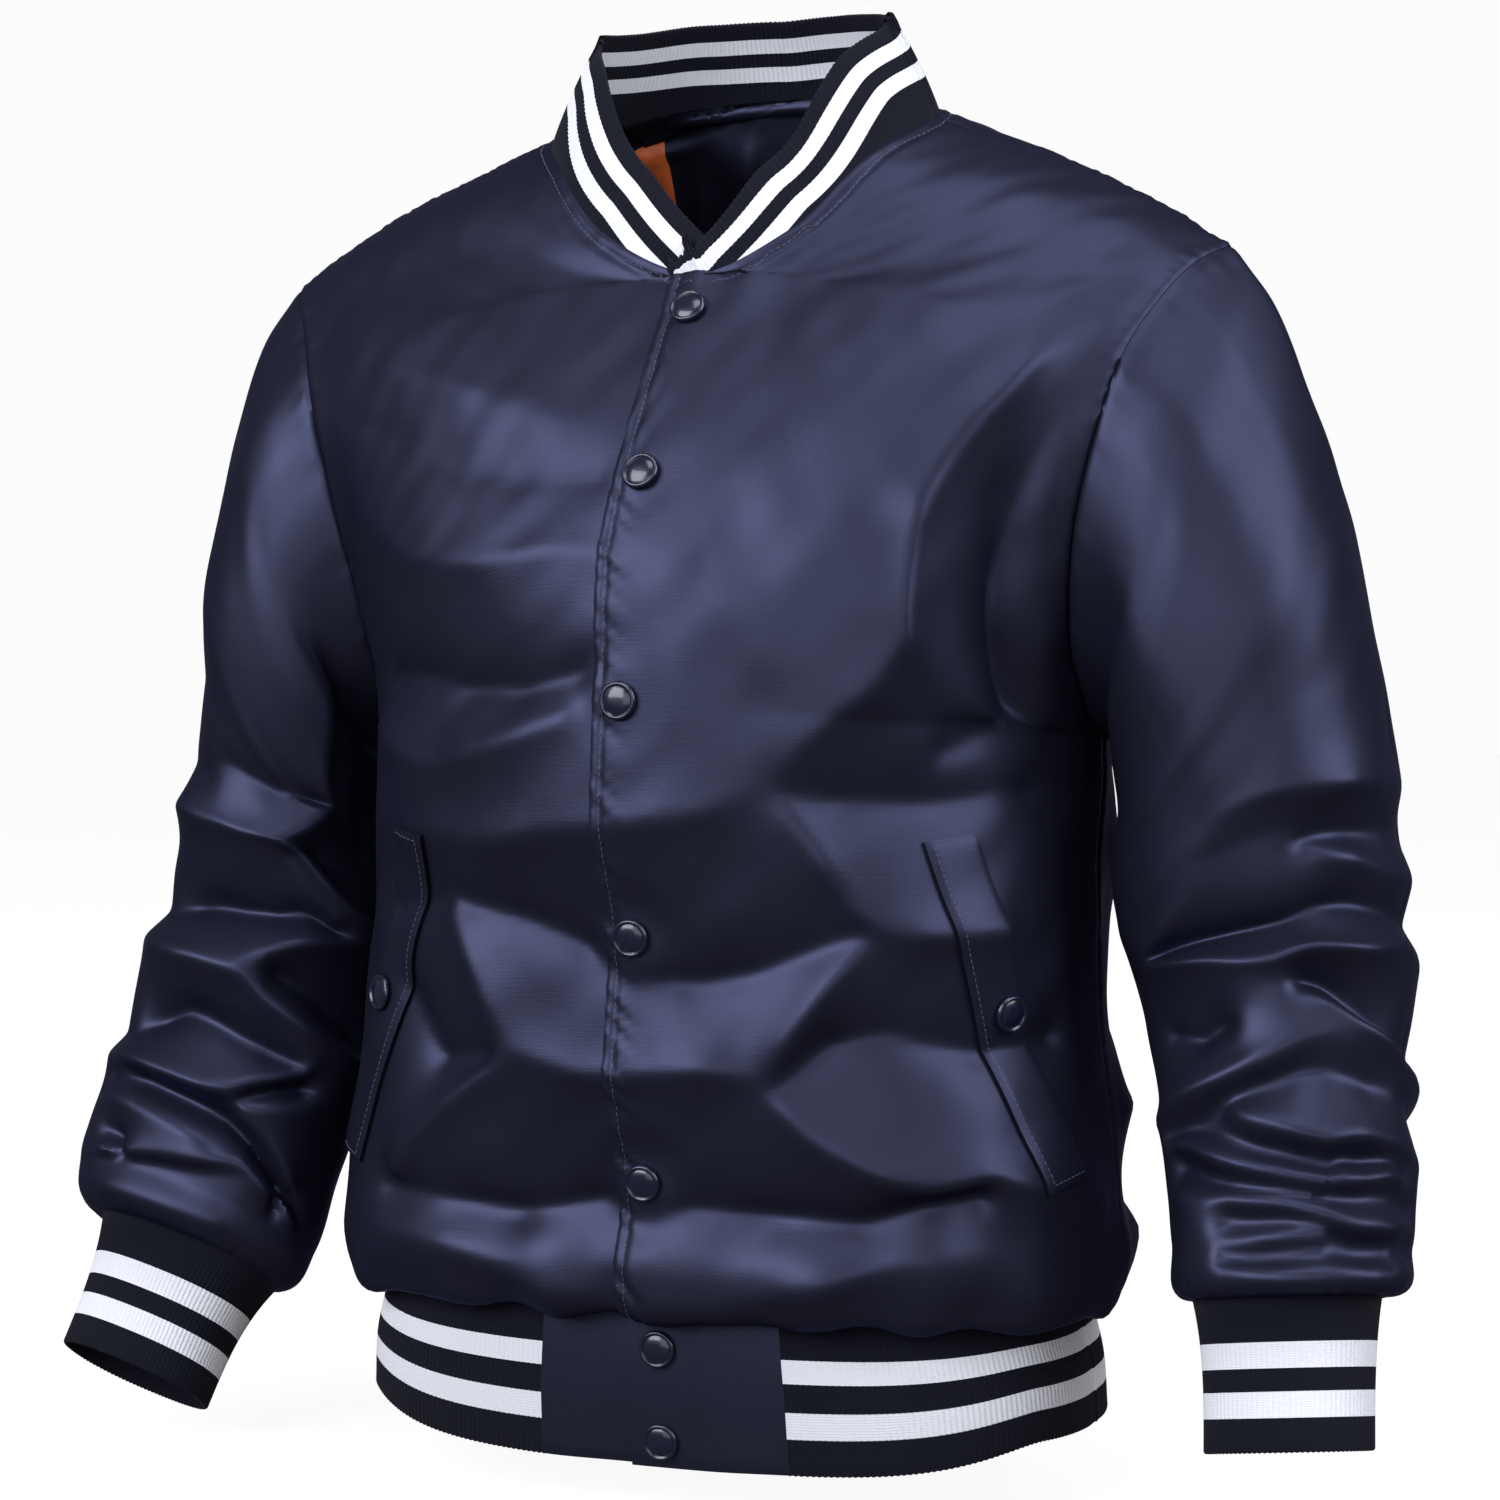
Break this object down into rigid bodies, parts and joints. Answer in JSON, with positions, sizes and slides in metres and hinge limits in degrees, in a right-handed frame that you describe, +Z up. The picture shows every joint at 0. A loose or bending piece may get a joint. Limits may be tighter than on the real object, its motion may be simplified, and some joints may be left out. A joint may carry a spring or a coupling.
{
  "type": "bomber jacket",
  "caption": "Men's snap-front satin bomber jacket, filled out as worn, with striped rib collar, cuffs and hem band and slanted welt pockets.",
  "frame": {"origin": "middle of the neck opening, level with the two points where the shoulder seams meet the collar; the wearer's neck holds the jacket there", "axes": "+Z up the wearer's neck, -Y the way the wearer faces, +X the wearer's left"},
  "size_m": [0.6721, 0.2919, 0.69],
  "materials": {
    "satin": "navy satin with a soft sheen",
    "rib": "navy rib knit with white stripes",
    "snap": "glossy navy snap caps",
    "lining": "orange lining"
  },
  "bodies": {
    "root": {"back": "satin", "collar": "rib", "front_snap_1": "snap", "front_snap_2": "snap", "front_snap_3": "snap", "front_snap_4": "snap", "front_snap_5": "snap", "hem_rib": "rib", "hem_snap_1": "snap", "hem_snap_2": "snap", "left_cuff": "rib", "left_front": "satin", "left_hem_tab": "satin", "left_pocket_snap": "snap", "left_pocket_welt": "satin", "left_sleeve": "satin", "lining_panel": "lining", "right_cuff": "rib", "right_front": "satin", "right_hem_tab": "satin", "right_pocket_snap": "snap", "right_pocket_welt": "satin", "right_sleeve": "satin"}
  },
  "joints": []
}
